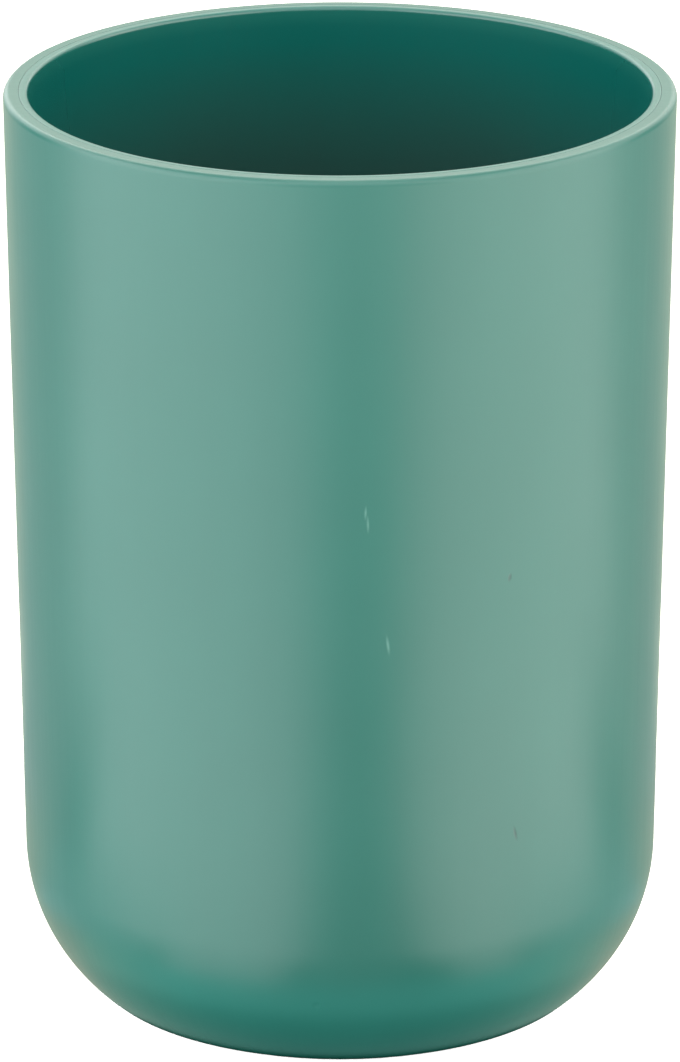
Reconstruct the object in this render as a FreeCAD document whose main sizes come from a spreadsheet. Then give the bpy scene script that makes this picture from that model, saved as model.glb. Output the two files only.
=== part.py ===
"""Bathroom tumbler: a round, slightly flared cup with a rounded bottom edge, on a soft foot.

The outer shell is the cup that shows. The inner liner hangs in it like a second, thinner cup: its collar is a
taper fit in the shell's mouth, its floor stands on a rib on the shell's floor, and a fine seam in the rim is
where the two are joined. The foot ring is pressed into a groove under the base.

Frame: +Z up along the axis of the cup, with the origin on the table in the middle of the foot. Millimetres.
"""
import FreeCAD, Part
import os

import Sketcher

# Driving dimensions: name, millimetres, what it measures
SIZES = (
    ("tumbler_height", 103.0, "table to the top of the rim"),
    ("rim_diameter", 73.0, "outside of the wall, carried up to the rim"),
    ("flare_width", 1.6, "how far the outside wall leans out, from the table to the rim"),
    ("base_diameter", 54.8, "edge where the rounded bottom meets the flat base"),
    ("corner_radius", 20.8, "round between the outside wall and the flat base"),
    ("shell_wall", 1.7, "wall of the outer shell"),
    ("base_thickness", 2.6, "floor of the outer shell, from the base to the air gap"),
    ("rim_round", 0.7, "round on the outside edge of the rim"),
    ("seam_round", 0.14, "rounds on both sides of the seam in the rim"),
    ("base_edge_round", 0.8, "round on the edge of the flat base"),
    ("liner_wall", 0.85, "wall of the inner liner"),
    ("liner_floor", 1.3, "floor of the inner liner"),
    ("lip_width", 0.95, "liner's lip, as it shows in the rim"),
    ("lip_round", 0.46, "round on the inside edge of the lip"),
    ("floor_round", 5.0, "round between the liner's floor and its corner"),
    ("collar_depth", 8.0, "height of the liner's collar in the shell's mouth"),
    ("collar_lead", 1.5, "height of the slope under the collar"),
    ("seam_clearance", 0.05, "between the collar and the shell's mouth"),
    ("corner_gap", 1.0, "air gap between the shell and the liner at the rounded corner"),
    ("floor_gap", 1.4, "air gap between the two floors, and height of the rib in it"),
    ("rib_diameter", 30.0, "middle of the rib that carries the liner's floor"),
    ("rib_width", 1.8, "width of that rib"),
    ("foot_proud", 0.5, "how far the foot ring stands below the base"),
    ("foot_inset", 2.4, "edge of the base to the foot ring"),
    ("foot_width", 4.6, "width of the foot ring"),
    ("foot_round", 0.3, "rounds on the foot ring's lower edges"),
    ("groove_depth", 1.2, "groove that holds the foot ring"),
    ("groove_clearance", 0.05, "between the foot ring and each side of its groove"),
    ("recess_margin", 1.2, "foot groove to the recess in the middle of the base"),
    ("recess_depth", 0.8, "recess in the middle of the base"),
    ("gate_diameter", 2.6, "moulding gate's stub in the recess"),
    ("gate_height", 0.35, "height of that stub"),
)

doc = FreeCAD.newDocument("bathroom_tumbler")
sheet = doc.addObject("Spreadsheet::Sheet", "sizes")
for row, (alias, value, meaning) in enumerate(SIZES, start=1):
    sheet.set(f"A{row}", alias)
    sheet.set(f"B{row}", str(value))
    sheet.set(f"C{row}", meaning)
    sheet.setAlias(f"B{row}", alias)
doc.recompute()

# Sizes that several pieces share, as expressions on the sheet
RIM_RADIUS = "sizes.rim_diameter / 2"
BASE_RADIUS = "sizes.base_diameter / 2"
SHELL_FLOOR_TOP = "sizes.foot_proud + sizes.base_thickness"
LINER_UNDERSIDE = f"{SHELL_FLOOR_TOP} + sizes.floor_gap"
LINER_FLOOR_TOP = f"{LINER_UNDERSIDE} + sizes.liner_floor"
COLLAR_LEAN = "sizes.flare_width * sizes.collar_depth / sizes.tumbler_height"
GROOVE_OUTER = f"{BASE_RADIUS} - sizes.foot_inset"
GROOVE_INNER = f"{GROOVE_OUTER} - sizes.foot_width - 2 * sizes.groove_clearance"
GROOVE_TOP = "sizes.foot_proud + sizes.groove_depth"
FOOT_OUTER = f"{GROOVE_OUTER} - sizes.groove_clearance"
FOOT_INNER = f"{FOOT_OUTER} - sizes.foot_width"
RECESS_RADIUS = f"{GROOVE_INNER} - sizes.recess_margin"
RECESS_TOP = "sizes.foot_proud + sizes.recess_depth"
GATE_RADIUS = "sizes.gate_diameter / 2"
GATE_BOTTOM = f"{RECESS_TOP} - sizes.gate_height"
RIB_INNER = "(sizes.rib_diameter - sizes.rib_width) / 2"
RIB_OUTER = "(sizes.rib_diameter + sizes.rib_width) / 2"

# How a sketch numbers the points of an edge, and its own level line and upright axis
START, END, CENTRE = range(1, 4)
LEVEL, AXIS = range(-1, -3, -1)
ORIGIN = (LEVEL, START)


def size(alias):
    """A driving dimension's number, for the first guess of a sketch."""
    return float(sheet.get(alias))


def worked_out(expression):
    """The number that an expression on the sheet gives."""
    return float(sheet.evalExpression(expression))


def new_body(label):
    """An empty body, named as its piece."""
    body = doc.addObject("PartDesign::Body", label)
    body.Label = label
    return body


def section_sketch(body, name):
    """A sketch on the upright plane through the axis: its x is the radius and its y the height."""
    sketch = body.newObject("Sketcher::SketchObject", name)
    plane = next(f for f in body.Origin.OriginFeatures if f.Role == "XZ_Plane")
    sketch.AttachmentSupport = (plane, "")
    sketch.MapMode = "FlatFace"
    return sketch


def point(radius, height):
    return FreeCAD.Vector(radius, height, 0)


def line(sketch, start, end):
    """Adds a straight edge and returns its number."""
    return sketch.addGeometry(Part.LineSegment(point(*start), point(*end)), False)


def arc(sketch, centre, start, end):
    """Adds an arc that runs anticlockwise from start to end, and returns its number."""
    spokes = [point(*p) - point(*centre) for p in (start, end)]
    angles = [FreeCAD.Vector(1, 0, 0).getAngle(spoke) * (1 if spoke.y >= 0 else -1) for spoke in spokes]
    circle = Part.Circle(point(*centre), FreeCAD.Vector(0, 0, 1), spokes[0].Length)
    return sketch.addGeometry(Part.ArcOfCircle(circle, *angles), False)


def join(sketch, *pairs):
    """Makes pairs of ends meet."""
    for (first, first_end), (second, second_end) in pairs:
        sketch.addConstraint(Sketcher.Constraint("Coincident", first, first_end, second, second_end))


def smooth(sketch, *pairs):
    """Makes pairs of ends meet and run on into each other."""
    for (first, first_end), (second, second_end) in pairs:
        sketch.addConstraint(Sketcher.Constraint("Tangent", first, first_end, second, second_end))


def hold(sketch, kind, name, expression, *places):
    """A dimension of the sketch, bound to an expression on the sheet."""
    flat = [number for place in places for number in (place if isinstance(place, tuple) else (place,))]
    index = sketch.addConstraint(Sketcher.Constraint(kind, *flat, worked_out(expression)))
    sketch.renameConstraint(index, name)
    sketch.setExpression(f"Constraints.{name}", expression)


def measure(sketch, kind, name, place, guess):
    """A dimension of the sketch that only reports what the others give, for another piece to read."""
    index = sketch.addConstraint(Sketcher.Constraint(kind, *ORIGIN, *place, guess))
    sketch.setDriving(index, False)
    sketch.renameConstraint(index, name)


def turned(body, kind, name, sketch):
    """The sketch carried once round the axis: kind is Revolution, which adds, or Groove, which cuts."""
    feature = body.newObject(f"PartDesign::{kind}", name)
    feature.Profile = sketch
    feature.ReferenceAxis = (sketch, ["V_Axis"])
    feature.Angle = 360
    sketch.Visibility = False
    doc.recompute()
    return feature


def ring(body, kind, name, inner, outer, bottom, top):
    """A ring of rectangular section, added or cut. With no inner radius it is a disc."""
    sketch = section_sketch(body, f"{name}_section")
    left = worked_out(inner) if inner else 0
    right, low, high = (worked_out(e) for e in (outer, bottom, top))
    floor = line(sketch, (left, low), (right, low))
    side = line(sketch, (right, low), (right, high))
    roof = line(sketch, (right, high), (left, high))
    core = line(sketch, (left, high), (left, low))
    corners = ((floor, side), (side, roof), (roof, core), (core, floor))
    join(sketch, *(((edge, END), (following, START)) for edge, following in corners))
    for level, upright in ((floor, side), (roof, core)):
        sketch.addConstraint(Sketcher.Constraint("Horizontal", level))
        sketch.addConstraint(Sketcher.Constraint("Vertical", upright))
    if inner:
        hold(sketch, "DistanceX", "inner_radius", inner, ORIGIN, (core, START))
    else:
        sketch.addConstraint(Sketcher.Constraint("PointOnObject", core, START, AXIS))
    hold(sketch, "DistanceX", "outer_radius", outer, ORIGIN, (side, START))
    if worked_out(bottom) == 0:
        sketch.addConstraint(Sketcher.Constraint("PointOnObject", floor, START, LEVEL))
    else:
        hold(sketch, "DistanceY", "bottom", bottom, ORIGIN, (floor, START))
    hold(sketch, "DistanceY", "top", top, ORIGIN, (roof, START))
    doc.recompute()
    return turned(body, kind, name, sketch)


def rounded(body, name, alias, *corners):
    """Rounds the circular edges through the corners, each (radius, height), by a size of the sheet."""
    base = body.Tip
    edges = []
    for radius, height in corners:
        near = [FreeCAD.Vector(edge.Vertexes[0].Point) for edge in base.Shape.Edges]
        misses = [abs(p.x - radius) + abs(p.z - height) + abs(p.y) for p in near]
        closed = [len(edge.Vertexes) == 1 for edge in base.Shape.Edges]
        best = min(range(len(misses)), key=lambda i: misses[i] if closed[i] else float("inf"))
        edges.append(f"Edge{best + 1}")
    fillet = body.newObject("PartDesign::Fillet", name)
    fillet.Base = (base, edges)
    fillet.setExpression("Radius", f"sizes.{alias}")
    doc.recompute()
    return fillet


def corner_of(sketch, geometry, end):
    """Radius and height of an end of a sketch's edge, once the sketch is solved."""
    place = sketch.getPoint(geometry, end)
    return place.x, place.y


def make_outer_shell():
    """The cup that shows: a leaning wall of even thickness, and a large round cut off by the flat base."""
    body = new_body("outer_shell")
    sketch = section_sketch(body, "shell_section")
    rim, top, lean = size("rim_diameter") / 2, size("tumbler_height"), size("flare_width")
    edge, low, floor_top = size("base_diameter") / 2, size("foot_proud"), worked_out(SHELL_FLOOR_TOP)
    radius, wall = size("corner_radius"), size("shell_wall")

    # First guess: the round's centre is one radius inside the wall, as high as the base's edge asks
    centre_radius = rim - lean - radius
    centre_height = low + (radius**2 - (edge - centre_radius) ** 2) ** 0.5
    centre = (centre_radius, centre_height)
    inner_edge = centre_radius + ((radius - wall) ** 2 - (centre_height - floor_top) ** 2) ** 0.5
    wall_foot = (centre_radius + radius, centre_height)
    inner_wall_foot = (centre_radius + radius - wall, centre_height)

    base = line(sketch, (0, low), (edge, low))
    corner = arc(sketch, centre, (edge, low), wall_foot)
    outside = line(sketch, wall_foot, (rim, top))
    land = line(sketch, (rim, top), (rim - wall, top))
    inside = line(sketch, (rim - wall, top), inner_wall_foot)
    inner_corner = arc(sketch, centre, (inner_edge, floor_top), inner_wall_foot)
    floor = line(sketch, (inner_edge, floor_top), (0, floor_top))
    core = line(sketch, (0, floor_top), (0, low))
    # The outside wall carried down to the table, where its lean is counted from
    plumb = sketch.addGeometry(Part.Point(point(rim - lean, 0)), True)

    join(
        sketch,
        ((base, END), (corner, START)),
        ((outside, END), (land, START)),
        ((land, END), (inside, START)),
        ((inner_corner, START), (floor, START)),
        ((floor, END), (core, START)),
        ((core, END), (base, START)),
        ((corner, CENTRE), (inner_corner, CENTRE)),
    )
    smooth(sketch, ((corner, END), (outside, START)), ((inside, END), (inner_corner, END)))
    for level in (base, land, floor):
        sketch.addConstraint(Sketcher.Constraint("Horizontal", level))
    sketch.addConstraint(Sketcher.Constraint("PointOnObject", base, START, AXIS))
    sketch.addConstraint(Sketcher.Constraint("PointOnObject", core, START, AXIS))
    sketch.addConstraint(Sketcher.Constraint("Parallel", outside, inside))
    sketch.addConstraint(Sketcher.Constraint("PointOnObject", plumb, START, outside))
    sketch.addConstraint(Sketcher.Constraint("PointOnObject", plumb, START, LEVEL))
    hold(sketch, "DistanceY", "base_height", "sizes.foot_proud", ORIGIN, (base, START))
    hold(sketch, "DistanceY", "floor_height", SHELL_FLOOR_TOP, ORIGIN, (floor, END))
    hold(sketch, "DistanceX", "base_radius", BASE_RADIUS, ORIGIN, (base, END))
    hold(sketch, "DistanceX", "rim_radius", RIM_RADIUS, ORIGIN, (outside, END))
    hold(sketch, "DistanceY", "rim_height", "sizes.tumbler_height", ORIGIN, (outside, END))
    hold(sketch, "DistanceX", "flare_width", "sizes.flare_width", (plumb, START), (outside, END))
    hold(sketch, "Radius", "corner_radius", "sizes.corner_radius", corner)
    hold(sketch, "Distance", "shell_wall", "sizes.shell_wall", (inside, START), outside)
    measure(sketch, "DistanceX", "mouth_radius", (inside, START), rim - wall)
    measure(sketch, "DistanceX", "centre_radius", (corner, CENTRE), centre_radius)
    measure(sketch, "DistanceY", "centre_height", (corner, CENTRE), centre_height)
    doc.recompute()

    turned(body, "Revolution", "shell", sketch)
    ring(body, "Revolution", "floor_rib", RIB_INNER, RIB_OUTER, SHELL_FLOOR_TOP, LINER_UNDERSIDE)
    ring(body, "Groove", "foot_groove", GROOVE_INNER, GROOVE_OUTER, "sizes.foot_proud", GROOVE_TOP)
    ring(body, "Groove", "base_recess", None, RECESS_RADIUS, "sizes.foot_proud", RECESS_TOP)
    ring(body, "Revolution", "gate_stub", None, GATE_RADIUS, GATE_BOTTOM, RECESS_TOP)
    rounded(body, "rim_round", "rim_round", corner_of(sketch, outside, END))
    rounded(body, "shell_seam_round", "seam_round", corner_of(sketch, inside, START))
    rounded(body, "base_edge_round", "base_edge_round", corner_of(sketch, base, END))
    return body


def make_inner_liner():
    """The thin cup inside: its corner shares the shell's centre, so the air gap there is even."""
    body = new_body("inner_liner")
    sketch = section_sketch(body, "liner_section")
    read = "shell_section.Constraints"
    shell = doc.getObject("shell_section")
    mouth, centre_radius, centre_height = (
        shell.getDatum(name).Value for name in ("mouth_radius", "centre_radius", "centre_height")
    )
    top, under, floor_top = size("tumbler_height"), worked_out(LINER_UNDERSIDE), worked_out(LINER_FLOOR_TOP)
    wall, depth, lead = size("liner_wall"), size("collar_depth"), size("collar_lead")
    outer_radius = size("corner_radius") - size("shell_wall") - size("corner_gap")
    inner_radius = outer_radius - wall
    lip_outer = mouth - size("seam_clearance")
    lip_inner = lip_outer - size("lip_width")
    collar_bottom, lead_bottom = top - depth, top - depth - lead

    # First guess: both walls upright at the corner, and the collar straight down
    centre = (centre_radius, centre_height)
    under_edge = centre_radius + (outer_radius**2 - (centre_height - under) ** 2) ** 0.5
    floor_edge = centre_radius + (inner_radius**2 - (centre_height - floor_top) ** 2) ** 0.5
    wall_foot = (centre_radius + outer_radius, centre_height)
    inner_wall_foot = (centre_radius + inner_radius, centre_height)

    underside = line(sketch, (0, under), (under_edge, under))
    corner = arc(sketch, centre, (under_edge, under), wall_foot)
    outside = line(sketch, wall_foot, (lip_inner + wall, lead_bottom))
    slope = line(sketch, (lip_inner + wall, lead_bottom), (lip_outer, collar_bottom))
    collar = line(sketch, (lip_outer, collar_bottom), (lip_outer, top))
    lip = line(sketch, (lip_outer, top), (lip_inner, top))
    inside = line(sketch, (lip_inner, top), inner_wall_foot)
    inner_corner = arc(sketch, centre, (floor_edge, floor_top), inner_wall_foot)
    floor = line(sketch, (floor_edge, floor_top), (0, floor_top))
    core = line(sketch, (0, floor_top), (0, under))
    # The inside edge of the shell's mouth, which the collar fits
    mouth_edge = sketch.addGeometry(Part.Point(point(mouth, top)), True)

    join(
        sketch,
        ((underside, END), (corner, START)),
        ((outside, END), (slope, START)),
        ((slope, END), (collar, START)),
        ((collar, END), (lip, START)),
        ((lip, END), (inside, START)),
        ((inner_corner, START), (floor, START)),
        ((floor, END), (core, START)),
        ((core, END), (underside, START)),
        ((corner, CENTRE), (inner_corner, CENTRE)),
    )
    smooth(sketch, ((corner, END), (outside, START)), ((inside, END), (inner_corner, END)))
    for level in (underside, lip, floor):
        sketch.addConstraint(Sketcher.Constraint("Horizontal", level))
    sketch.addConstraint(Sketcher.Constraint("PointOnObject", underside, START, AXIS))
    sketch.addConstraint(Sketcher.Constraint("PointOnObject", core, START, AXIS))
    sketch.addConstraint(Sketcher.Constraint("Parallel", outside, inside))
    sketch.addConstraint(Sketcher.Constraint("PointOnObject", mouth_edge, START, lip))
    inner_radius_size = "sizes.corner_radius - sizes.shell_wall - sizes.corner_gap - sizes.liner_wall"
    hold(sketch, "DistanceX", "centre_radius", f"{read}.centre_radius", ORIGIN, (corner, CENTRE))
    hold(sketch, "DistanceY", "centre_height", f"{read}.centre_height", ORIGIN, (corner, CENTRE))
    hold(sketch, "Radius", "inner_corner_radius", inner_radius_size, inner_corner)
    hold(sketch, "Radius", "corner_radius", f"{inner_radius_size} + sizes.liner_wall", corner)
    hold(sketch, "DistanceY", "underside_height", LINER_UNDERSIDE, ORIGIN, (underside, START))
    hold(sketch, "DistanceY", "floor_height", LINER_FLOOR_TOP, ORIGIN, (floor, END))
    hold(sketch, "DistanceY", "lip_height", "sizes.tumbler_height", ORIGIN, (lip, START))
    hold(sketch, "DistanceX", "mouth_radius", f"{read}.mouth_radius", ORIGIN, (mouth_edge, START))
    hold(sketch, "DistanceX", "seam_clearance", "sizes.seam_clearance", (lip, START), (mouth_edge, START))
    hold(sketch, "DistanceX", "lip_width", "sizes.lip_width", (lip, END), (lip, START))
    hold(sketch, "DistanceY", "collar_depth", "sizes.collar_depth", (collar, START), (collar, END))
    hold(sketch, "DistanceX", "collar_lean", COLLAR_LEAN, (collar, START), (collar, END))
    hold(sketch, "DistanceY", "collar_lead", "sizes.collar_lead", (slope, START), (slope, END))
    doc.recompute()

    turned(body, "Revolution", "liner", sketch)
    rounded(body, "lip_round", "lip_round", corner_of(sketch, inside, START))
    rounded(body, "liner_seam_round", "seam_round", corner_of(sketch, lip, START))
    rounded(body, "floor_round", "floor_round", corner_of(sketch, floor, START))
    return body


def make_foot_ring():
    """A soft ring that fills the groove under the base and stands a little below it."""
    body = new_body("foot_ring")
    ring(body, "Revolution", "foot", FOOT_INNER, FOOT_OUTER, "0", GROOVE_TOP)
    rounded(body, "foot_round", "foot_round", (worked_out(FOOT_INNER), 0), (worked_out(FOOT_OUTER), 0))
    return body


def check(pieces):
    """Stops if an object of the document failed, or a piece is empty, broken or not one solid."""
    for thing in doc.Objects:
        if "Invalid" in thing.State or "Error" in thing.State:
            raise RuntimeError(f"{thing.Label} failed: {thing.State}")
    for piece in pieces:
        if piece.Shape.isNull() or not piece.Shape.isValid():
            raise RuntimeError(f"{piece.Label} has no valid shape")
        if len(piece.Shape.Solids) != 1:
            raise RuntimeError(f"{piece.Label} is {len(piece.Shape.Solids)} solids")


pieces = [make_outer_shell(), make_inner_liner(), make_foot_ring()]
doc.recompute()
check(pieces)
os.makedirs("parts", exist_ok=True)
for piece in pieces:
    piece.Shape.exportStep(os.path.join("parts", f"{piece.Label}.step"))
    print(piece.Label, round(piece.Shape.Volume, 1), "mm3")
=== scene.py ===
"""Dresses the bathroom tumbler: satin moulded shells, a seam in the rim and a ridged foot.

Every piece is a surface of revolution worked out with numpy from the sizes below. Metres, in the
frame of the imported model: +Z is the axis of the cup, and the viewer of the photograph is on the
-Y side. A pale floor, softboxes and a white surround make a plain studio.
"""

import math

import bpy
import numpy as np
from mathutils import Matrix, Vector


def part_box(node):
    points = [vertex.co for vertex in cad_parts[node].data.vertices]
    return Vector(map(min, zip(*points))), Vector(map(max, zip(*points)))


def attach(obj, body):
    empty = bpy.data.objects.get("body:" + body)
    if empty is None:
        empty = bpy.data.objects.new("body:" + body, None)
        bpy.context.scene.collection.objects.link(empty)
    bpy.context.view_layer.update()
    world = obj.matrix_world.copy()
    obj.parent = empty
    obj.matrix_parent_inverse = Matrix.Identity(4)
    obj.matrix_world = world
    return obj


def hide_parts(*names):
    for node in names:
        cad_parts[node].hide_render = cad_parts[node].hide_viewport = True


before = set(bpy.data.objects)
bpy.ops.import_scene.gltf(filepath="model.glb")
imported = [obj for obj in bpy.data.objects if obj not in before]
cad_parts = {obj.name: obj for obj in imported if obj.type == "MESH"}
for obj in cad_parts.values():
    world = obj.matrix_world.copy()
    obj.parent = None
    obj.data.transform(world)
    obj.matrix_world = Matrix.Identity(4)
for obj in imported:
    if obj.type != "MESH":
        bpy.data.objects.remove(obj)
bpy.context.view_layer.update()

MM = 0.001

# Sizes of the outer shell: its top and bottom come from the frame
RIM_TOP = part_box("outer_shell")[1].z
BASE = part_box("outer_shell")[0].z
RIM_RADIUS = 36.5 * MM
FLARE = 1.6 * MM
BASE_RADIUS = 27.4 * MM
CORNER_RADIUS = 20.8 * MM
SHELL_WALL = 1.7 * MM
SHELL_FLOOR_TOP = BASE + 2.6 * MM
RIM_ROUND = 0.7 * MM
SEAM_ROUND = 0.07 * MM
BASE_EDGE_ROUND = 0.8 * MM
RIB_RADIUS = 15.0 * MM
RIB_WIDTH = 1.8 * MM
SMALL_ROUND = 0.15 * MM

# Sizes of the liner: its underside comes from the frame
LINER_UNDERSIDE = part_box("inner_liner")[0].z
LINER_FLOOR_TOP = LINER_UNDERSIDE + 1.3 * MM
LINER_WALL = 0.85 * MM
CORNER_GAP = 1.0 * MM
LIP_WIDTH = 0.95 * MM
LIP_ROUND = 0.46 * MM
FLOOR_ROUND = 5.0 * MM
COLLAR_DEPTH = 8.0 * MM
COLLAR_LEAD = 1.5 * MM
SEAM_CLEARANCE = 0.01 * MM

# Sizes under the base: the foot's top and outer radius come from the frame
FOOT_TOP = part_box("foot_ring")[1].z
FOOT_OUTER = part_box("foot_ring")[1].x
FOOT_WIDTH = 4.6 * MM
FOOT_ROUND = 0.3 * MM
FOOT_RIDGES = 4
FOOT_RIDGE_DEPTH = 0.16 * MM
FOOT_RIDGE_POWER = 0.6
FOOT_SHOULDER_INSET = FOOT_ROUND / 3
FOOT_SHOULDER_HEIGHT = (FOOT_ROUND + FOOT_RIDGE_DEPTH) / 2
GROOVE_CLEARANCE = 0.05 * MM
RECESS_MARGIN = 1.2 * MM
RECESS_TOP = BASE + 0.8 * MM
GATE_RADIUS = 1.3 * MM
GATE_HEIGHT = 0.35 * MM
GATE_TAPER = GATE_HEIGHT / 4

# Grid of the surfaces: steps of each kind of run, and how close to a round a straight run is held
TURN_STEPS = 360
ROUND_STEPS = 8
CORNER_STEPS = 48
WALL_STEPS = 24
HIDDEN_CORNER_STEPS = 16
CUP_CORNER_STEPS = 32
CUP_FLOOR_STEPS = 16
RIDGE_STEPS = 10
PATCH_STEPS = 72
EDGE_HOLD = 0.12 * MM
STRAIGHT_DOWN = -math.pi / 2

# Camera, fitted to the photograph's outline: degrees, and lens and sensor in millimetres
CAMERA_DISTANCE = 803 * MM
CAMERA_ELEVATION = 19.01
CAMERA_AIM_HEIGHT = 52.17 * MM
CAMERA_LENS = 246.2
CAMERA_SENSOR = 36

# Colours of the plastic and the rubber, linear, and the shares of painted shade, scuffs and dust that
# show
SEA_GREEN = (0.0047, 0.0695, 0.0535, 1)
SEA_GREEN_DEEP = (0.0041, 0.0642, 0.0494, 1)
LINER_GREEN = (0.0012, 0.061, 0.051, 1)
# Painted greyish shade deeper in the cup, mixed into the liner's colour
LINER_PAINTED_SHADE = (0.0185, 0.0355, 0.0295, 1)
PAINTED_SHADE_LEAST = 0.8
# Painted highlight: a paler colour on the liner's lip near the rim
LIP_PAINTED_HIGHLIGHT = (0.006, 0.076, 0.061, 1)
SCUFF_PALE = (0.085, 0.19, 0.16, 1)
SCUFF_STRENGTH = 0.55
NICK_DARK = (0.004, 0.03, 0.025, 1)
FOOT_GREEN = (0.008, 0.04, 0.034, 1)
FOOT_DUST = (0.05, 0.085, 0.078, 1)
DUST_MOST = 0.7

# Shine of the plastic and the rubber
SATIN_ROUGHNESS = 0.40
LINER_ROUGHNESS = 0.22
ROUGHNESS_SPREAD = 0.025
LIP_EXTRA_ROUGHNESS = 0.14
RUBBER_ROUGHNESS = (0.7, 0.86)
GLOSS = 0.5
REFRACTION = 1.5

# Depths below the rim where the liner's painted shade, the painted highlight on its lip and its duller
# lip start and end
PAINTED_SHADE_START = 4 * MM
PAINTED_SHADE_END = 26 * MM
LIP_HIGHLIGHT_START = 0.4 * MM
LIP_HIGHLIGHT_END = 2.2 * MM
LIP_MATTE_START = 0.2 * MM
LIP_MATTE_END = 0.5 * MM

# Scale and detail of each noise: the lines and the flow count to the cup's radius, the rest to the metre
DRAW_LINES = (46, 5)
FLOW = (3.5, 3)
CLOUDS = (55, 3)
GRAIN = (7000, 2)
SMEARS = (90, 4)
DUST = (700, 4)
RUBBER_GRAIN = (5200, 3)

# Part of each noise, or of a sum of two, that is spread over the whole change it makes
TONE_RANGE = (0.7, 1.3)
SMEAR_RANGE = (0.6, 1.4)
DUST_RANGE = (0.4, 0.7)
RUBBER_GRAIN_RANGE = (0.3, 0.7)

# Share of the height that makes the upright lines wander, and the depths of the relief
LINE_WANDER = 0.8
DRAW_LINE_DEPTH = 0.0045 * MM
GRAIN_DEPTH = 0.0005 * MM
DENT_DEPTH = 0.06 * MM
NICK_DEPTH = 0.06 * MM
RUBBER_GRAIN_DEPTH = 0.004 * MM

# Marks of handling on the wall: azimuth in degrees, height, length and width in mm, tilt in degrees
PALE_SCUFFS = (
    (4.3, 66.5, 1.8, 0.34, 3),
    (4.7, 65.2, 2.3, 0.34, -1),
    (8.2, 51.5, 2.6, 0.44, -7),
    (-128, 44.0, 2.4, 0.36, -12),
    (121, 70.5, 2.0, 0.34, 20),
    (174, 33.0, 3.0, 0.36, 4),
)
DARK_NICKS = (
    (32.3, 28.0, 2.1, 0.50, -14),
    (30.3, 57.6, 1.1, 0.55, 12),
    (-150, 61.0, 1.2, 0.36, 9),
)
DENTS = (
    (-4.3, 9.6, 1.0, 1.0, 0),
    (98, 24.0, 0.9, 0.8, 0),
)

# Floor that the camera sees, with a dark disc of painted shadow under the cup, and the level of the
# light above it
FLOOR_RADIUS = 5.0
FLOOR_SHADE = 0.9
FLOOR_STRENGTH = 0.9
DISC_RADIUS = 26.2 * MM
# Grey of the disc of painted shadow under the cup
SHADOW_DISC_GREY = 0.03
DISC_STRENGTH = 0.0
FULL_TURN = (0, 360)
GLOW_LEVEL = 0.1 * MM

# Colours of the light, linear
BLACK = (0, 0, 0, 1)
NEUTRAL = (1, 1, 1, 1)
WARM = (1, 0.965, 0.925, 1)
PALE_CREAM = (1, 0.99, 0.9, 1)
BEIGE = (1, 0.95, 0.76, 1)
CUP_TINTED = (0.3, 1, 0.92, 1)
COOL = (0.7, 1, 1, 1)

# Light of the floor: name, two radii in mm, two azimuths in degrees, colour and strength
FLOOR_GLOW = (
    ("glow_left", 130, 2500, -98, -8, NEUTRAL, 3.45),
    ("glow_left_mid", 75, 130, -83, -8, NEUTRAL, 3.8),
    ("glow_left_near", 58, 75, -66, -10, NEUTRAL, 3.1),
    ("glow_left_close", 46, 58, -46, -14, NEUTRAL, 2.4),
    ("glow_right", 130, 2500, 20, 101, WARM, 3.65),
    ("glow_right_mid", 75, 130, 18, 86, WARM, 4.1),
    ("glow_right_near", 58, 75, 22, 70, WARM, 3.3),
    ("glow_right_close", 46, 58, 29, 48, WARM, 2.0),
    ("glow_front", 45, 350, -8, 15, NEUTRAL, 0.6),
    ("glow_front_far", 350, 1000, -8, 20, NEUTRAL, 3.0),
    ("glow_left_back", 75, 1000, -142, -98, NEUTRAL, 0.9),
    ("glow_right_back", 75, 1000, 101, 142, WARM, 0.9),
    ("glow_left_side", 46, 75, -105, -52, COOL, 1.25),
    ("glow_right_side", 46, 75, 52, 105, COOL, 1.25),
    ("glow_back_near", 75, 130, 142, 218, BEIGE, 2.1),
    ("glow_back", 130, 2500, 142, 218, BEIGE, 1.2),
    ("glow_behind", 46, 75, 105, 255, BEIGE, 1.0),
)

# Rings of light close to the cup: name, two radii in mm and strength in front, then its change along Y
RING_GLOW = (
    ("glow_close", 36, 46, 1.7),
    ("glow_under", 27.9, 36, 0.6),
)
RING_GLOW_BEHIND = 1.05
TINT_START = -31 * MM
TINT_END = -6 * MM

# Softboxes: name, azimuth and elevation in degrees, width and height in metres, watts, colour
BOX_DISTANCE = 0.8
SOFTBOXES = (
    ("left_box", -64, 24, 1.2, 0.9, 16.6, NEUTRAL),
    ("right_box", 69, 24, 1.2, 0.9, 15.6, WARM),
    ("left_back_box", -150, 18, 0.42, 0.5, 1.6, NEUTRAL),
    ("right_back_box", 150, 18, 0.42, 0.5, 1.2, WARM),
    ("left_high_box", -112, 40, 0.6, 0.5, 2.0, NEUTRAL),
    ("right_high_box", 112, 40, 0.6, 0.5, 2.0, WARM),
    ("rim_box", 180, 48, 0.8, 0.5, 5.5, PALE_CREAM),
    ("rim_low_box", 180, 20, 1.0, 0.4, 1.75, PALE_CREAM),
    ("front_low_box", 0, 16, 0.5, 0.3, 1.0, NEUTRAL),
    ("front_high_box", 0, 50, 0.6, 0.3, 2.7, NEUTRAL),
    ("top_box", 0, 85, 0.6, 0.6, 3.6, NEUTRAL),
)


def corner_centre():
    """Centre of the round between wall and base, as (r, z).

    It lies one radius inside the leaning wall and one radius from the base's edge. With the wall
    at r = foot + lean * z, its height solves a quadratic.
    """
    lean = FLARE / RIM_TOP
    stretch = 1 + lean**2
    offset = RIM_RADIUS - FLARE - CORNER_RADIUS * math.sqrt(stretch) - BASE_RADIUS
    half = offset * lean - BASE
    rest = offset**2 + BASE**2 - CORNER_RADIUS**2
    height = (-half + math.sqrt(half**2 - stretch * rest)) / stretch
    return np.array((BASE_RADIUS + offset + lean * height, height))


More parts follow.
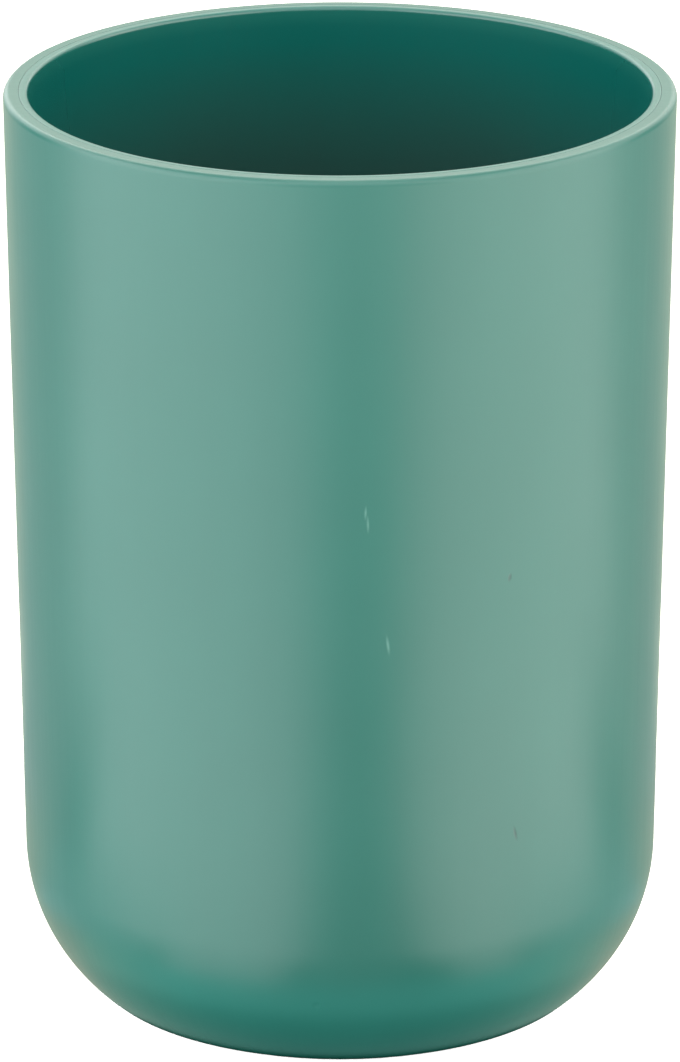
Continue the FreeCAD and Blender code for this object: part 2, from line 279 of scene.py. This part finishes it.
CORNER = corner_centre()
WALL_ANGLE = -math.atan(FLARE / RIM_TOP)
MOUTH_RADIUS = RIM_RADIUS - SHELL_WALL / math.cos(WALL_ANGLE)
LIP_OUTER = MOUTH_RADIUS - SEAM_CLEARANCE
LIP_INNER = LIP_OUTER - LIP_WIDTH


def direction(angle):
    """The unit vector at an angle in radians: (cosine, sine)."""
    return np.array((math.cos(angle), math.sin(angle)))


def arc(centre, radius, start, end, steps):
    """Points of a circle between two angles in radians: centre plus radius times (cosine, sine)."""
    angle = np.linspace(start, end, steps + 1)
    return np.asarray(centre) + radius * np.column_stack((np.cos(angle), np.sin(angle)))


def rounded_path(points, rounds):
    """A path of straight runs whose corners are arcs of the given radii.

    At a corner the arc's ends lie at radius / tan(half the corner's angle) from it, and its centre
    lies on the bisector. A point close to each end of the arc holds the straight runs flat.
    """
    points = np.asarray(points, float)
    path = [points[:1]]
    for before, here, after, radius in zip(points[:-2], points[1:-1], points[2:], rounds):
        to_before = (before - here) / np.linalg.norm(before - here)
        to_after = (after - here) / np.linalg.norm(after - here)
        half = math.acos(np.clip(to_before @ to_after, -1, 1)) / 2
        reach = radius / math.tan(half)
        bisector = (to_before + to_after) / np.linalg.norm(to_before + to_after)
        centre = here + bisector * radius / math.sin(half)
        first = here + to_before * reach
        last = here + to_after * reach
        share = np.linspace(0, 1, ROUND_STEPS + 1)[:, None]
        spokes = (first - centre) * (1 - share) + (last - centre) * share
        spokes *= radius / np.linalg.norm(spokes, axis=1)[:, None]
        path.append(first[None] + to_before * EDGE_HOLD)
        path.append(centre + spokes)
        path.append(last[None] + to_after * EDGE_HOLD)
    path.append(points[-1:])
    return np.vstack(path)


def divided(start, end, steps):
    """Points evenly spaced on the straight run between two points, without its ends."""
    share = np.linspace(0, 1, steps + 1)[1:-1, None]
    return np.asarray(start) * (1 - share) + np.asarray(end) * share


def round_to_level(radius, level, small):
    """Where a small round joins the corner's circle, of this radius, to a level plane that cuts it.

    The small round's centre is one small radius above the plane, and radius minus small from the
    circle's centre. Returns that centre and the angle at which the two circles touch.
    """
    height = level + small
    across = math.sqrt((radius - small) ** 2 - (CORNER[1] - height) ** 2)
    return (CORNER[0] + across, height), math.atan2(height - CORNER[1], across)


def revolved(name, profile, closed=False):
    """A surface of revolution: each profile point (r, z) turns about Z, as (r cos a, r sin a, z).

    The profile runs with the solid on its left. An open one starts and ends on the axis, at a
    single pole each.
    """
    angle = np.arange(TURN_STEPS) * (2 * math.pi / TURN_STEPS)
    rings = profile if closed else profile[1:-1]
    across = rings[:, :1] * np.cos(angle)
    along = rings[:, :1] * np.sin(angle)
    up = np.repeat(rings[:, 1:], TURN_STEPS, axis=1)
    grid = np.stack((across, along, up), axis=2).reshape(-1, 3)
    row = np.arange(len(rings) if closed else len(rings) - 1)[:, None] * TURN_STEPS
    next_row = (row + TURN_STEPS) % len(grid)
    step = np.arange(TURN_STEPS)
    next_step = (step + 1) % TURN_STEPS
    quads = np.stack(
        (row + step, row + next_step, next_row + next_step, next_row + step),
        axis=2,
    )
    faces = quads.reshape(-1, 4).tolist()
    if not closed:
        first_pole = np.full(TURN_STEPS, len(grid))
        last_pole = first_pole + 1
        last_row = len(grid) - TURN_STEPS
        grid = np.vstack((grid, [(0, 0, profile[0, 1]), (0, 0, profile[-1, 1])]))
        faces += np.column_stack((first_pole, next_step, step)).tolist()
        faces += np.column_stack((last_row + step, last_row + next_step, last_pole)).tolist()
    mesh = bpy.data.meshes.new(name)
    mesh.from_pydata(grid.tolist(), [], faces)
    mesh.shade_smooth()
    mesh.update()
    piece = bpy.data.objects.new(name, mesh)
    bpy.context.scene.collection.objects.link(piece)
    return piece


def finished(piece, node, material):
    """Gives a piece its finish, and puts it in the place of its CAD node."""
    piece.data.materials.append(material)
    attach(piece, "root")
    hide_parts(node)


def shell_profile():
    """The shell's half section: base with its grooves, corner, wall, rim, and the hidden inside.

    Straight runs with small rounds make the base and the floor, and circles about one centre make
    the corner inside and out. The wall is straight from the corner to the rim.
    """
    groove_outer = FOOT_OUTER + GROOVE_CLEARANCE
    groove_inner = FOOT_OUTER - FOOT_WIDTH - GROOVE_CLEARANCE
    recess = groove_inner - RECESS_MARGIN
    edge_centre, edge_angle = round_to_level(CORNER_RADIUS, BASE, BASE_EDGE_ROUND)
    underside = [
        (0, RECESS_TOP - GATE_HEIGHT),
        (GATE_RADIUS, RECESS_TOP - GATE_HEIGHT),
        (GATE_RADIUS + GATE_TAPER, RECESS_TOP),
        (recess, RECESS_TOP),
        (recess, BASE),
        (groove_inner, BASE),
        (groove_inner, FOOT_TOP),
        (groove_outer, FOOT_TOP),
        (groove_outer, BASE),
        (edge_centre[0], BASE),
    ]
    inner_radius = CORNER_RADIUS - SHELL_WALL
    wall_foot = CORNER + CORNER_RADIUS * direction(WALL_ANGLE)
    inner_foot = CORNER + inner_radius * direction(WALL_ANGLE)
    floor_centre, floor_angle = round_to_level(inner_radius, SHELL_FLOOR_TOP, BASE_EDGE_ROUND)
    floor = [
        (floor_centre[0], SHELL_FLOOR_TOP),
        (RIB_RADIUS + RIB_WIDTH / 2, SHELL_FLOOR_TOP),
        (RIB_RADIUS + RIB_WIDTH / 2, LINER_UNDERSIDE),
        (RIB_RADIUS - RIB_WIDTH / 2, LINER_UNDERSIDE),
        (RIB_RADIUS - RIB_WIDTH / 2, SHELL_FLOOR_TOP),
        (0, SHELL_FLOOR_TOP),
    ]
    rim = (RIM_RADIUS, RIM_TOP)
    mouth = (MOUTH_RADIUS, RIM_TOP)
    return np.vstack(
        (
            rounded_path(underside, [SMALL_ROUND] * (len(underside) - 2)),
            arc(edge_centre, BASE_EDGE_ROUND, STRAIGHT_DOWN, edge_angle, ROUND_STEPS)[1:],
            arc(CORNER, CORNER_RADIUS, edge_angle, WALL_ANGLE, CORNER_STEPS)[1:],
            divided(wall_foot, rim, WALL_STEPS)[:-1],
            rounded_path((wall_foot, rim, mouth, inner_foot), (RIM_ROUND, SEAM_ROUND))[1:-1],
            arc(CORNER, inner_radius, WALL_ANGLE, floor_angle, HIDDEN_CORNER_STEPS),
            arc(floor_centre, BASE_EDGE_ROUND, floor_angle, STRAIGHT_DOWN, ROUND_STEPS)[1:-1],
            rounded_path(floor, [SMALL_ROUND] * (len(floor) - 2)),
        )
    )


def liner_profile():
    """The liner's half section: underside, corner, wall, collar in the shell's mouth, lip, inside.

    Circles about the shell's corner make its own corner inside and out. Its inside wall is the
    straight line from the lip that touches the inner circle, and its outside wall runs beside it.
    """
    outer_radius = CORNER_RADIUS - SHELL_WALL - CORNER_GAP
    inner_radius = outer_radius - LINER_WALL
    across = LIP_INNER - CORNER[0]
    up = RIM_TOP - CORNER[1]
    touch = math.atan2(up, across) - math.acos(inner_radius / math.hypot(across, up))
    inner_foot = CORNER + inner_radius * direction(touch)
    outer_foot = CORNER + outer_radius * direction(touch)
    lip_outer = (LIP_OUTER, RIM_TOP)
    lip_inner = (LIP_INNER, RIM_TOP)
    lean = np.array(lip_inner) - inner_foot
    lead_bottom = RIM_TOP - COLLAR_DEPTH - COLLAR_LEAD
    wall_top = outer_foot + lean * (lead_bottom - outer_foot[1]) / lean[1]
    collar_bottom = (LIP_OUTER - FLARE * COLLAR_DEPTH / RIM_TOP, RIM_TOP - COLLAR_DEPTH)
    top_run = (outer_foot, wall_top, collar_bottom, lip_outer, lip_inner, inner_foot)
    top_rounds = (SMALL_ROUND, SMALL_ROUND, SEAM_ROUND, LIP_ROUND)
    under_centre, under_angle = round_to_level(outer_radius, LINER_UNDERSIDE, BASE_EDGE_ROUND)
    floor_centre, floor_angle = round_to_level(inner_radius, LINER_FLOOR_TOP, FLOOR_ROUND)
    floor_edge = (floor_centre[0], LINER_FLOOR_TOP)
    floor_middle = (0, LINER_FLOOR_TOP)
    return np.vstack(
        (
            [(0, LINER_UNDERSIDE)],
            arc(under_centre, BASE_EDGE_ROUND, STRAIGHT_DOWN, under_angle, ROUND_STEPS),
            arc(CORNER, outer_radius, under_angle, touch, HIDDEN_CORNER_STEPS)[1:],
            rounded_path(top_run, top_rounds)[1:-1],
            divided(lip_inner, inner_foot, WALL_STEPS)[1:],
            arc(CORNER, inner_radius, touch, floor_angle, CUP_CORNER_STEPS),
            arc(floor_centre, FLOOR_ROUND, floor_angle, STRAIGHT_DOWN, CUP_FLOOR_STEPS)[1:],
            divided(floor_edge, floor_middle, CUP_FLOOR_STEPS),
            [floor_middle],
        )
    )


def foot_profile():
    """The foot's half section: a ring whose underside is a row of ridges.

    Across the underside the height is depth * (1 - |sin| ** power), with one arch of the sine to
    each ridge. A shoulder point at either end leads up to the sides.
    """
    inner = FOOT_OUTER - FOOT_WIDTH
    sides = rounded_path(
        (
            (FOOT_OUTER, FOOT_ROUND),
            (FOOT_OUTER, FOOT_TOP),
            (inner, FOOT_TOP),
            (inner, FOOT_ROUND),
        ),
        (SMALL_ROUND, SMALL_ROUND),
    )
    left = inner + FOOT_ROUND
    right = FOOT_OUTER - FOOT_ROUND
    across = np.linspace(0, 1, RIDGE_STEPS * FOOT_RIDGES + 1)
    arches = np.abs(np.sin(across * FOOT_RIDGES * math.pi)) ** FOOT_RIDGE_POWER
    tread = np.column_stack((left + across * (right - left), FOOT_RIDGE_DEPTH * (1 - arches)))
    inner_shoulder = (inner + FOOT_SHOULDER_INSET, FOOT_SHOULDER_HEIGHT)
    outer_shoulder = (FOOT_OUTER - FOOT_SHOULDER_INSET, FOOT_SHOULDER_HEIGHT)
    return np.vstack((sides, [inner_shoulder], tread, [outer_shoulder]))


class Nodes:
    """Short ways to make and join the nodes of one material."""

    def __init__(self, name):
        self.material = bpy.data.materials.new(name)
        self.material.use_nodes = True
        self.tree = self.material.node_tree
        self.shader = self.tree.nodes["Principled BSDF"]
        self.place = self.add("ShaderNodeTexCoord").outputs["Object"]

    def join(self, socket, value):
        """Joins an output of another node to a socket, or sets the socket to a value."""
        if isinstance(value, bpy.types.NodeSocket):
            self.tree.links.new(value, socket)
        else:
            socket.default_value = value

    def add(self, kind, inputs=None, **settings):
        """A node with its settings, whose inputs are values or outputs of other nodes."""
        node = self.tree.nodes.new(kind)
        for key, value in settings.items():
            setattr(node, key, value)
        for key, value in (inputs or {}).items():
            self.join(node.inputs[key], value)
        return node

    def part(self, axis):
        """The place along one axis, in metres."""
        return self.add("ShaderNodeSeparateXYZ", {0: self.place}).outputs[axis]

    def noise(self, vector, scale, detail):
        """Smooth noise from 0 to 1, with so many features to each unit of the vector."""
        inputs = {"Vector": vector, "Scale": scale, "Detail": detail}
        return self.add("ShaderNodeTexNoise", inputs).outputs["Fac"]

    def ranged(self, value, low, high, out_low, out_high):
        """Value carried from one range to another, and held at its ends."""
        inputs = {
            "Value": value,
            "From Min": low,
            "From Max": high,
            "To Min": out_low,
            "To Max": out_high,
        }
        return self.add("ShaderNodeMapRange", inputs).outputs["Result"]

    def tinted(self, share, first, second):
        """A colour between two colours, or outputs that give them."""
        node = self.add("ShaderNodeMix", data_type="RGBA")
        # A mix node has sockets of several types: these are the colour ones
        self.join(node.inputs[0], share)
        self.join(node.inputs[6], first)
        self.join(node.inputs[7], second)
        return node.outputs[2]

    def math(self, operation, *values):
        """Arithmetic on values or outputs."""
        return self.add("ShaderNodeMath", dict(enumerate(values)), operation=operation).outputs[0]

    def vector(self, operation, *values):
        """Arithmetic on vectors or outputs that give them."""
        inputs = dict(enumerate(values))
        return self.add("ShaderNodeVectorMath", inputs, operation=operation).outputs[0]

    def bump(self, height, depth, normal=None):
        """A normal tilted by a height from 0 to 1, depth metres deep."""
        inputs = {"Height": height, "Distance": depth, "Strength": 1.0}
        if normal is not None:
            inputs["Normal"] = normal
        return self.add("ShaderNodeBump", inputs).outputs["Normal"]

    def sunk(self, mask, depth, normal):
        """A normal tilted by a hollow that is deepest where the mask is one."""
        return self.bump(self.math("SUBTRACT", 0.0, mask), depth, normal)

    def give(self, **inputs):
        """Gives the shader outputs or values. Names are its own, with _ for a space."""
        for key, value in inputs.items():
            self.join(self.shader.inputs[key.replace("_", " ")], value)
        return self.material


def wall_radius(height):
    """Radius of the outside wall at a height.

    The wall leans evenly, and below the corner's centre it follows the round.
    """
    below = min(height, CORNER[1])
    lean = RIM_RADIUS - FLARE * (1 - max(height, CORNER[1]) / RIM_TOP)
    return lean - CORNER_RADIUS + math.sqrt(CORNER_RADIUS**2 - (CORNER[1] - below) ** 2)


def upright_lines(n, scale, detail):
    """Noise that changes round the cup and little along its height, as lines from a mould do.

    The place is put on a circle of radius one about the axis, and a share of the height is added.
    """
    flat = n.vector("MULTIPLY", n.place, (1, 1, 0))
    circle = n.vector("NORMALIZE", flat)
    along = n.vector("MULTIPLY", n.place, (0, 0, LINE_WANDER))
    return n.noise(n.vector("ADD", circle, along), scale, detail)


def marks(n, places):
    """One in the middle of a mark, fading to zero at its edge: each is an ellipsoid in the wall."""
    total = None
    for azimuth, height, length, width, tilt in places:
        turn = math.radians(azimuth)
        radius = wall_radius(height * MM)
        inputs = {
            "Vector": n.place,
            "Location": (radius * math.sin(turn), -radius * math.cos(turn), height * MM),
            "Rotation": (0, math.radians(tilt), turn),
            "Scale": (width * MM / 2, width * MM, length * MM / 2),
        }
        spot = n.add("ShaderNodeMapping", inputs, vector_type="TEXTURE").outputs[0]
        ball = n.add("ShaderNodeTexGradient", {"Vector": spot}, gradient_type="SPHERICAL")
        mask = ball.outputs["Fac"]
        total = mask if total is None else n.math("MAXIMUM", total, mask)
    return total


def moulded(n, rough):
    """What both mouldings share: a cloudy tone from 0 to 1, an uneven roughness and a fine relief."""
    lines = upright_lines(n, *DRAW_LINES)
    clouds = n.math("ADD", upright_lines(n, *FLOW), n.noise(n.place, *CLOUDS))
    smears = n.math("ADD", lines, n.noise(n.place, *SMEARS))
    tone = n.ranged(clouds, *TONE_RANGE, 0, 1)
    low = rough - ROUGHNESS_SPREAD
    high = rough + ROUGHNESS_SPREAD
    roughness = n.ranged(smears, *SMEAR_RANGE, low, high)
    normal = n.bump(lines, DRAW_LINE_DEPTH)
    normal = n.bump(n.noise(n.place, *GRAIN), GRAIN_DEPTH, normal)
    return tone, roughness, normal


def shell_satin():
    """Satin plastic of the shell, with a few pale scuffs, dark nicks and small dents."""
    n = Nodes("shell_satin")
    tone, roughness, normal = moulded(n, SATIN_ROUGHNESS)
    nicks = marks(n, DARK_NICKS)
    scuffs = n.math("MULTIPLY", marks(n, PALE_SCUFFS), SCUFF_STRENGTH)
    colour = n.tinted(tone, SEA_GREEN_DEEP, SEA_GREEN)
    colour = n.tinted(scuffs, colour, SCUFF_PALE)
    colour = n.tinted(nicks, colour, NICK_DARK)
    normal = n.sunk(marks(n, DENTS), DENT_DEPTH, normal)
    normal = n.sunk(nicks, NICK_DEPTH, normal)
    return n.give(
        Base_Color=colour,
        Roughness=roughness,
        Normal=normal,
        IOR=REFRACTION,
        Specular_IOR_Level=GLOSS,
    )


def liner_satin():
    """Smoother plastic of the liner, with painted greyish shade deeper in the cup, a painted highlight
    on the lip, and a duller lip.
    """
    n = Nodes("liner_satin")
    tone, roughness, normal = moulded(n, LINER_ROUGHNESS)
    height = n.part("Z")
    # Painted greyish shade: the liner turns greyer and darker deeper in the cup
    depth = n.ranged(height, RIM_TOP - PAINTED_SHADE_END, RIM_TOP - PAINTED_SHADE_START, 1, 0)
    painted_shade = n.math("MULTIPLY", depth, n.ranged(tone, 0, 1, PAINTED_SHADE_LEAST, 1))
    # Painted highlight: the lip is paler towards the rim
    pale = n.ranged(height, RIM_TOP - LIP_HIGHLIGHT_END, RIM_TOP - LIP_HIGHLIGHT_START, 0, 1)
    matte_low = RIM_TOP - LIP_MATTE_END
    matte_high = RIM_TOP - LIP_MATTE_START
    matte = n.ranged(height, matte_low, matte_high, 0, LIP_EXTRA_ROUGHNESS)
    colour = n.tinted(painted_shade, LINER_GREEN, LINER_PAINTED_SHADE)
    return n.give(
        Base_Color=n.tinted(pale, colour, LIP_PAINTED_HIGHLIGHT),
        Roughness=n.math("ADD", roughness, matte),
        Normal=normal,
        IOR=REFRACTION,
        Specular_IOR_Level=GLOSS,
    )


def foot_rubber():
    """Soft dark rubber: matte and grainy, with dust on the crests that touch the table."""
    n = Nodes("foot_rubber")
    crest = n.ranged(n.part("Z"), 0, FOOT_RIDGE_DEPTH, 1, 0)
    specks = n.ranged(n.noise(n.place, *DUST), *DUST_RANGE, 0, DUST_MOST)
    grain = n.noise(n.place, *RUBBER_GRAIN)
    return n.give(
        Base_Color=n.tinted(n.math("MULTIPLY", crest, specks), FOOT_GREEN, FOOT_DUST),
        Roughness=n.ranged(grain, *RUBBER_GRAIN_RANGE, *RUBBER_ROUGHNESS),
        Normal=n.bump(grain, RUBBER_GRAIN_DEPTH),
        IOR=REFRACTION,
    )


def floor_matte(name, shade, strength):
    """Matte floor that the camera sees, of one shade of grey, which may give some light."""
    n = Nodes(name)
    n.material.cycles.emission_sampling = "NONE"
    return n.give(
        Base_Color=(shade, shade, shade, 1),
        Roughness=1.0,
        Emission_Color=NEUTRAL,
        Emission_Strength=strength,
    )


def patch_glow(name, colour, strength):
    """Light of one colour from a patch of floor that is itself black."""
    n = Nodes(name)
    return n.give(
        Base_Color=BLACK,
        Roughness=1.0,
        Emission_Color=colour,
        Emission_Strength=strength,
    )


def ring_glow(name, strength):
    """Light of the floor beside the cup: cup-coloured in front, and beige at its sides and behind."""
    n = Nodes(name)
    along = n.part("Y")
    behind = n.ranged(along, TINT_START, TINT_END, 0, 1)
    return n.give(
        Base_Color=BLACK,
        Roughness=1.0,
        Emission_Color=n.tinted(behind, CUP_TINTED, BEIGE),
        Emission_Strength=n.ranged(along, TINT_START, TINT_END, strength, RING_GLOW_BEHIND),
    )


def floor_patch(name, radii, azimuths, level, material):
    """A level patch of floor between two radii and two azimuths: r (sin a, -cos a) at one height.

    Azimuth 0 is the viewer's side, and 90 degrees the right.
    """
    azimuth = np.radians(np.linspace(*azimuths, PATCH_STEPS + 1))
    radius = np.array(radii)[:, None]
    across = radius * np.sin(azimuth)
    along = -radius * np.cos(azimuth)
    grid = np.stack((across, along, np.full_like(across, level)), axis=2).reshape(-1, 3)
    step = np.arange(PATCH_STEPS)
    row = len(azimuth)
    faces = np.column_stack((step, row + step, row + step + 1, step + 1))
    mesh = bpy.data.meshes.new(name)
    mesh.from_pydata(grid.tolist(), [], faces.tolist())
    mesh.update()
    patch = bpy.data.objects.new(name, mesh)
    patch.data.materials.append(material)
    bpy.context.scene.collection.objects.link(patch)
    return patch


def make_floor():
    """The floor that the camera sees, with a dark disc of painted shadow under the cup, and the patches
    and rings of light that the cup sees.
    """
    white = floor_matte("floor_white", FLOOR_SHADE, FLOOR_STRENGTH)
    # Dark disc of painted shadow under the cup, where its contact shadow falls
    dark = floor_matte("painted_shadow_disc", SHADOW_DISC_GREY, DISC_STRENGTH)
    bright = floor_patch("floor", (DISC_RADIUS, FLOOR_RADIUS), FULL_TURN, 0, white)
    disc = floor_patch("painted_shadow_disc", (0, DISC_RADIUS), FULL_TURN, 0, dark)
    for floor in (bright, disc):
        floor.visible_diffuse = False
        floor.visible_glossy = False
    for name, inner, outer, start, end, colour, strength in FLOOR_GLOW:
        glow = patch_glow(name, colour, strength)
        patch = floor_patch(name, (inner * MM, outer * MM), (start, end), GLOW_LEVEL, glow)
        patch.visible_camera = False
    for name, inner, outer, strength in RING_GLOW:
        glow = ring_glow(name, strength)
        ring = floor_patch(name, (inner * MM, outer * MM), FULL_TURN, GLOW_LEVEL, glow)
        ring.visible_camera = False


def softbox(name, azimuth, elevation, width, height, power, colour):
    """A rectangular area light aimed at the middle of the tumbler.

    Azimuth 0 is the viewer's side, and 90 degrees the right.
    """
    turn = math.radians(azimuth)
    rise = math.radians(elevation)
    light = bpy.data.lights.new(name, "AREA")
    light.shape = "RECTANGLE"
    light.size = width
    light.size_y = height
    light.energy = power
    light.color = colour[:3]
    lamp = bpy.data.objects.new(name, light)
    lamp.location = (
        BOX_DISTANCE * math.sin(turn) * math.cos(rise),
        -BOX_DISTANCE * math.cos(turn) * math.cos(rise),
        BOX_DISTANCE * math.sin(rise) + RIM_TOP / 2,
    )
    lamp.rotation_euler = (math.pi / 2 - rise, 0, turn)
    lamp.visible_camera = False
    bpy.context.scene.collection.objects.link(lamp)


def make_lights():
    """Softboxes at the sides, behind, in front and above."""
    for box in SOFTBOXES:
        softbox(*box)


def make_surround():
    """A white surround that puts no light or reflection on the cup."""
    world = bpy.data.worlds.new("studio")
    world.use_nodes = True
    background = world.node_tree.nodes["Background"]
    background.inputs["Color"].default_value = NEUTRAL
    background.inputs["Strength"].default_value = 1.0
    world.cycles_visibility.diffuse = False
    world.cycles_visibility.glossy = False
    bpy.context.scene.world = world


def make_camera():
    """The photograph's camera: on the -Y side, looking down at the axis."""
    tilt = math.radians(CAMERA_ELEVATION)
    data = bpy.data.cameras.new("camera")
    data.lens = CAMERA_LENS
    data.sensor_width = CAMERA_SENSOR
    camera = bpy.data.objects.new("camera", data)
    camera.location = (
        0,
        -CAMERA_DISTANCE * math.cos(tilt),
        CAMERA_AIM_HEIGHT + CAMERA_DISTANCE * math.sin(tilt),
    )
    camera.rotation_euler = (math.pi / 2 - tilt, 0, 0)
    bpy.context.scene.collection.objects.link(camera)
    bpy.context.scene.camera = camera
    bpy.context.scene.view_settings.view_transform = "Standard"


finished(revolved("shell", shell_profile()), "outer_shell", shell_satin())
finished(revolved("liner", liner_profile()), "inner_liner", liner_satin())
finished(revolved("foot", foot_profile(), closed=True), "foot_ring", foot_rubber())
make_floor()
make_lights()
make_surround()
make_camera()
